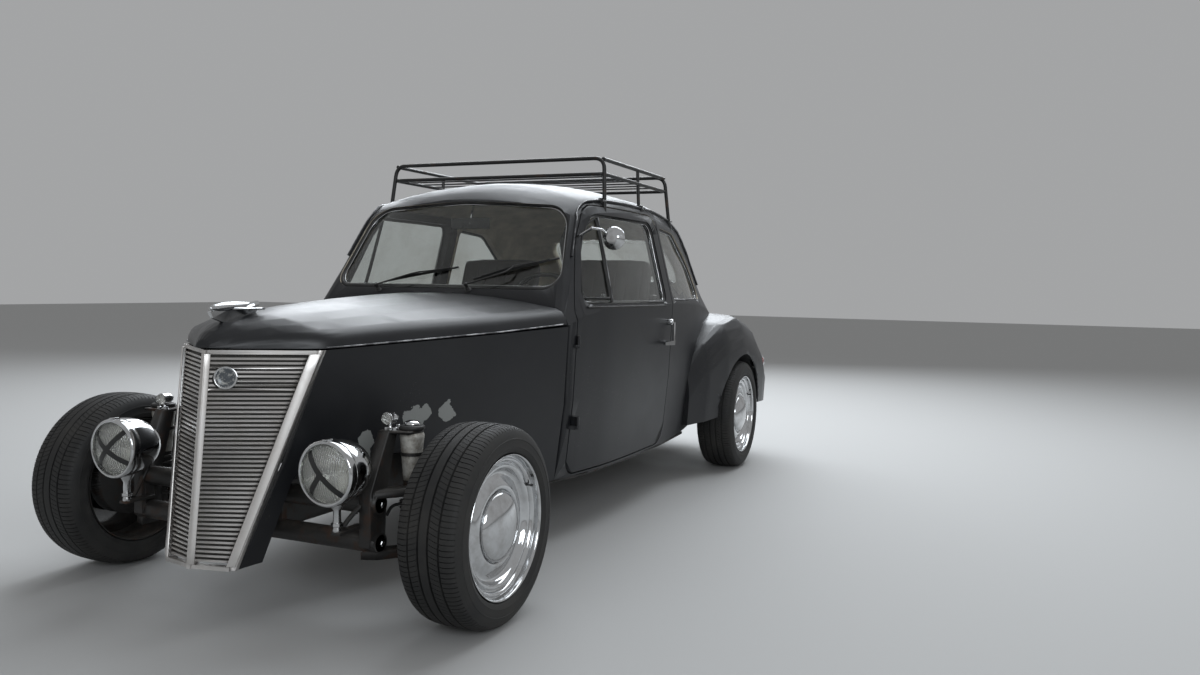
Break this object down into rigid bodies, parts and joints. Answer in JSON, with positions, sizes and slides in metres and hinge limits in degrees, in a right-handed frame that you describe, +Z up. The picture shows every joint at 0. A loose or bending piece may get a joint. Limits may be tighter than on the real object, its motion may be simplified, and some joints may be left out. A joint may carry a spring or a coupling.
{
  "type": "hot rod car",
  "caption": "Low two-door hot rod saloon with a prow grille, open front axle, rear engine, tall roof rack and steered, rolling wheels.",
  "frame": {"origin": "on the ground under the middle of the car's length and width", "axes": "+Z up, +Y towards the tail, +X towards the car's left side"},
  "size_m": [1.636, 3.8826, 1.532],
  "materials": {
    "paint": "worn satin paint",
    "grille_steel": "polished bars",
    "bright_chrome": "polished",
    "clear_glass": "clear",
    "lamp_glass": "fluted",
    "red_lens": "gloss",
    "dark_steel": "satin",
    "cast_metal": "as cast",
    "pipe_steel": "dull",
    "dash_paint": "satin",
    "wheel_plastic": "gloss",
    "seat_leather": "worn",
    "trim_board": "matt",
    "mirror_glass": "polished",
    "rack_steel": "worn",
    "rim_chrome": "polished",
    "tyre_rubber": "matt"
  },
  "bodies": {
    "car": {"body_shell": "paint", "nose_panels": "paint", "grille": "grille_steel", "windscreen": "clear_glass", "rear_window": "clear_glass", "quarter_windows": "clear_glass", "rear_fenders": "paint", "tail_lamps": "red_lens", "floor_pan": "dark_steel", "front_axle": "dark_steel", "headlamps": "bright_chrome", "headlamp_lenses": "lamp_glass", "signal_lamps": "bright_chrome", "rear_axle": "cast_metal", "engine_block": "cast_metal", "exhaust": "pipe_steel", "dashboard": "dash_paint", "steering_wheel": "wheel_plastic", "front_seats": "seat_leather", "rear_bench": "seat_leather", "luggage_shelf": "trim_board", "cabin_mirror": "mirror_glass", "roof_rack": "rack_steel"},
    "hood": {"hood": "paint", "hood_ornament": "bright_chrome"},
    "engine_lid": {"engine_lid": "paint"},
    "door_left": {"door_left": "paint", "door_window_left": "clear_glass", "door_handle_left": "bright_chrome", "door_mirror": "bright_chrome"},
    "door_right": {"door_right": "paint", "door_window_right": "clear_glass", "door_handle_right": "bright_chrome"},
    "knuckle_left": {"knuckle_left": "dark_steel"},
    "knuckle_right": {"knuckle_right": "dark_steel"},
    "wheel_front_left": {"rim_front_left": "rim_chrome", "tyre_front_left": "tyre_rubber"},
    "wheel_front_right": {"rim_front_right": "rim_chrome", "tyre_front_right": "tyre_rubber"},
    "wheel_rear_left": {"rim_rear_left": "rim_chrome", "tyre_rear_left": "tyre_rubber"},
    "wheel_rear_right": {"rim_rear_right": "rim_chrome", "tyre_rear_right": "tyre_rubber"}
  },
  "joints": [
    {"name": "hood_open", "type": "hinge", "parent": "car", "child": "hood", "pos_m": [0, -0.7123, 0.951], "axis": [-1, 0, 0], "range_deg": [0, 60]},
    {"name": "engine_lid_open", "type": "hinge", "parent": "car", "child": "engine_lid", "pos_m": [0, 1.5617, 0.938], "axis": [1, 0, 0], "range_deg": [0, 60]},
    {"name": "door_left_open", "type": "hinge", "parent": "car", "child": "door_left", "pos_m": [0.607, -0.6478, 0.62], "axis": [0, 0, -1], "range_deg": [0, 65]},
    {"name": "door_right_open", "type": "hinge", "parent": "car", "child": "door_right", "pos_m": [-0.607, -0.6478, 0.62], "axis": [0, 0, 1], "range_deg": [0, 65]},
    {"name": "steer_left", "type": "hinge", "parent": "car", "child": "knuckle_left", "pos_m": [0.578, -1.5503, 0.294], "axis": [0, 0, 1], "range_deg": [-28, 28]},
    {"name": "steer_right", "type": "hinge", "parent": "car", "child": "knuckle_right", "pos_m": [-0.578, -1.5503, 0.294], "axis": [0, 0, 1], "range_deg": [-28, 28]},
    {"name": "wheel_front_left_spin", "type": "hinge", "parent": "knuckle_left", "child": "wheel_front_left", "pos_m": [0.718, -1.5503, 0.294], "axis": [1, 0, 0], "continuous": true},
    {"name": "wheel_front_right_spin", "type": "hinge", "parent": "knuckle_right", "child": "wheel_front_right", "pos_m": [-0.718, -1.5503, 0.294], "axis": [1, 0, 0], "continuous": true},
    {"name": "wheel_rear_left_spin", "type": "hinge", "parent": "car", "child": "wheel_rear_left", "pos_m": [0.674, 1.2097, 0.294], "axis": [1, 0, 0], "continuous": true},
    {"name": "wheel_rear_right_spin", "type": "hinge", "parent": "car", "child": "wheel_rear_right", "pos_m": [-0.674, 1.2097, 0.294], "axis": [1, 0, 0], "continuous": true}
  ],
  "couplings": [
    {"joint": "steer_right", "follows": "steer_left", "ratio": 1}
  ]
}
